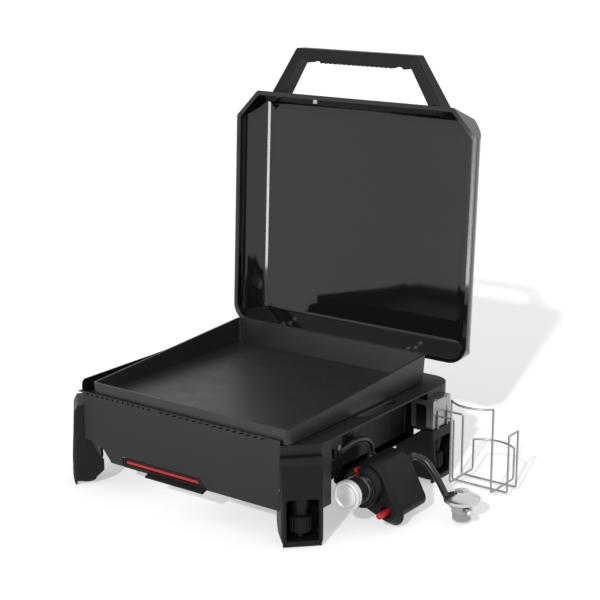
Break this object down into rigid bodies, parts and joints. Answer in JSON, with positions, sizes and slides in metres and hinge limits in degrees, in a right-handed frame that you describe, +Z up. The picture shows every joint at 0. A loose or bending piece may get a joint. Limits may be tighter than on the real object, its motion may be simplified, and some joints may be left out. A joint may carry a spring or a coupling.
{
  "type": "table-top gas griddle",
  "caption": "Table-top gas griddle with a hinged lid and handle, flat plate with raised walls, levelling legs, grease tray, side control module, hose and cylinder basket.",
  "frame": {"origin": "on the ground under the centre of the griddle's bounding box, hoses and regulator left out", "axes": "+Z up; -Y is the front with the grease tray, where the cook stands; +X is the side with the control module and the cylinder"},
  "size_m": [0.7336, 0.5854, 0.7455],
  "materials": {
    "satin_black_steel": "satin",
    "gloss_black_lid": "gloss",
    "seasoned_plate": "matte",
    "black_plastic": "matte",
    "grip_rubber": "matte",
    "red_plastic": "gloss",
    "chrome_trim": "polished",
    "zinc_steel": "brushed",
    "burner_steel": "satin",
    "brass_fittings": "satin",
    "hose_rubber": "satin",
    "tray_aluminium": "satin",
    "ceramic": "matte"
  },
  "bodies": {
    "housing": {"body_shell": "satin_black_steel", "vent_rim": "satin_black_steel", "wind_guard": "satin_black_steel", "firebox": "satin_black_steel", "heat_shield": "satin_black_steel", "griddle_plate": "seasoned_plate", "plate_rests": "grip_rubber", "burner_tube": "burner_steel", "burner_brackets": "burner_steel", "venturi_tube": "burner_steel", "gas_orifice": "brass_fittings", "igniter_electrode": "ceramic", "leg_front_right": "black_plastic", "leg_front_left": "black_plastic", "leg_rear_right": "black_plastic", "leg_rear_left": "black_plastic", "mounting_screws": "zinc_steel", "tray_rails": "satin_black_steel", "hinge_brackets": "satin_black_steel", "hinge_pins": "zinc_steel", "module_housing": "black_plastic", "module_cover": "black_plastic", "knob_bezel": "hose_rubber", "index_mark": "red_plastic", "valve_body": "brass_fittings", "igniter_unit": "ceramic", "module_bracket": "satin_black_steel", "cylinder_bracket": "zinc_steel", "gas_hose": "hose_rubber", "regulator_hose": "hose_rubber", "regulator_dome": "chrome_trim", "regulator_body": "zinc_steel", "regulator_probe": "brass_fittings", "vent_plug": "brass_fittings"},
    "lid": {"lid_shell": "gloss_black_lid", "lid_handle": "black_plastic", "handle_grip": "grip_rubber", "handle_screws": "zinc_steel", "hinge_leaves": "satin_black_steel", "hinge_screws": "zinc_steel", "lid_catch": "zinc_steel"},
    "tray": {"grease_tray": "tray_aluminium", "tray_front": "black_plastic", "tray_stripe": "red_plastic"},
    "valve_shaft": {"valve_stem": "zinc_steel"},
    "knob": {"knob_skirt": "black_plastic", "knob_rim": "chrome_trim", "knob_face": "chrome_trim"},
    "igniter_push": {"ignition_button": "red_plastic"},
    "basket": {"cylinder_basket": "zinc_steel"},
    "cylinder_nut": {"regulator_nut": "zinc_steel"},
    "wheel_front_right": {"levelling_wheel_front_right": "black_plastic"},
    "pad_front_right": {"foot_front_right": "grip_rubber"},
    "wheel_front_left": {"levelling_wheel_front_left": "black_plastic"},
    "pad_front_left": {"foot_front_left": "grip_rubber"},
    "wheel_rear_right": {"levelling_wheel_rear_right": "black_plastic"},
    "pad_rear_right": {"foot_rear_right": "grip_rubber"},
    "wheel_rear_left": {"levelling_wheel_rear_left": "black_plastic"},
    "pad_rear_left": {"foot_rear_left": "grip_rubber"}
  },
  "joints": [
    {"name": "lid_hinge", "type": "hinge", "parent": "housing", "child": "lid", "pos_m": [-0.06994, 0.20511, 0.16], "axis": [1, 0, 0], "range_deg": [0, 92.4]},
    {"name": "tray_slide", "type": "slide", "parent": "housing", "child": "tray", "axis": [0, -1, 0], "range_m": [0, 0.12]},
    {"name": "knob_push", "type": "slide", "parent": "housing", "child": "valve_shaft", "axis": [0, 1, 0], "range_m": [0, 0.0035], "stiffness_N_per_m": 900, "springref_m": -0.002},
    {"name": "knob_turn", "type": "hinge", "parent": "valve_shaft", "child": "knob", "pos_m": [0.21506, -0.14689, 0.07], "axis": [0, -1, 0], "range_deg": [0, 100]},
    {"name": "ignition_press", "type": "slide", "parent": "housing", "child": "igniter_push", "axis": [0, 1, 0], "range_m": [0, 0.006], "stiffness_N_per_m": 600, "springref_m": -0.002},
    {"name": "basket_lift", "type": "slide", "parent": "housing", "child": "basket", "axis": [0, 0, 1], "range_m": [0, 0.006]},
    {"name": "nut_turn", "type": "hinge", "parent": "housing", "child": "cylinder_nut", "pos_m": [0.34406, -0.03089, 0.0075], "axis": [0, 0, 1], "continuous": true},
    {"name": "wheel_turn_front_right", "type": "hinge", "parent": "housing", "child": "wheel_front_right", "pos_m": [0.17033, -0.25416, 0.0235], "axis": [0, 0, 1], "range_deg": [0, 1800]},
    {"name": "pad_slide_front_right", "type": "slide", "parent": "housing", "child": "pad_front_right", "axis": [0, 0, 1], "range_m": [-0.01, 0]},
    {"name": "wheel_turn_front_left", "type": "hinge", "parent": "housing", "child": "wheel_front_left", "pos_m": [-0.31021, -0.25416, 0.0235], "axis": [0, 0, 1], "range_deg": [0, 1800]},
    {"name": "pad_slide_front_left", "type": "slide", "parent": "housing", "child": "pad_front_left", "axis": [0, 0, 1], "range_m": [-0.01, 0]},
    {"name": "wheel_turn_rear_right", "type": "hinge", "parent": "housing", "child": "wheel_rear_right", "pos_m": [0.19326, 0.12111, 0.0235], "axis": [0, 0, 1], "range_deg": [0, 1800]},
    {"name": "pad_slide_rear_right", "type": "slide", "parent": "housing", "child": "pad_rear_right", "axis": [0, 0, 1], "range_m": [-0.01, 0]},
    {"name": "wheel_turn_rear_left", "type": "hinge", "parent": "housing", "child": "wheel_rear_left", "pos_m": [-0.33314, 0.12111, 0.0235], "axis": [0, 0, 1], "range_deg": [0, 1800]},
    {"name": "pad_slide_rear_left", "type": "slide", "parent": "housing", "child": "pad_rear_left", "axis": [0, 0, 1], "range_m": [-0.01, 0]}
  ],
  "couplings": [
    {"joint": "pad_slide_front_right", "follows": "wheel_turn_front_right", "m_per_rad": -0.00031831},
    {"joint": "pad_slide_front_left", "follows": "wheel_turn_front_left", "m_per_rad": -0.00031831},
    {"joint": "pad_slide_rear_right", "follows": "wheel_turn_rear_right", "m_per_rad": -0.00031831},
    {"joint": "pad_slide_rear_left", "follows": "wheel_turn_rear_left", "m_per_rad": -0.00031831}
  ]
}
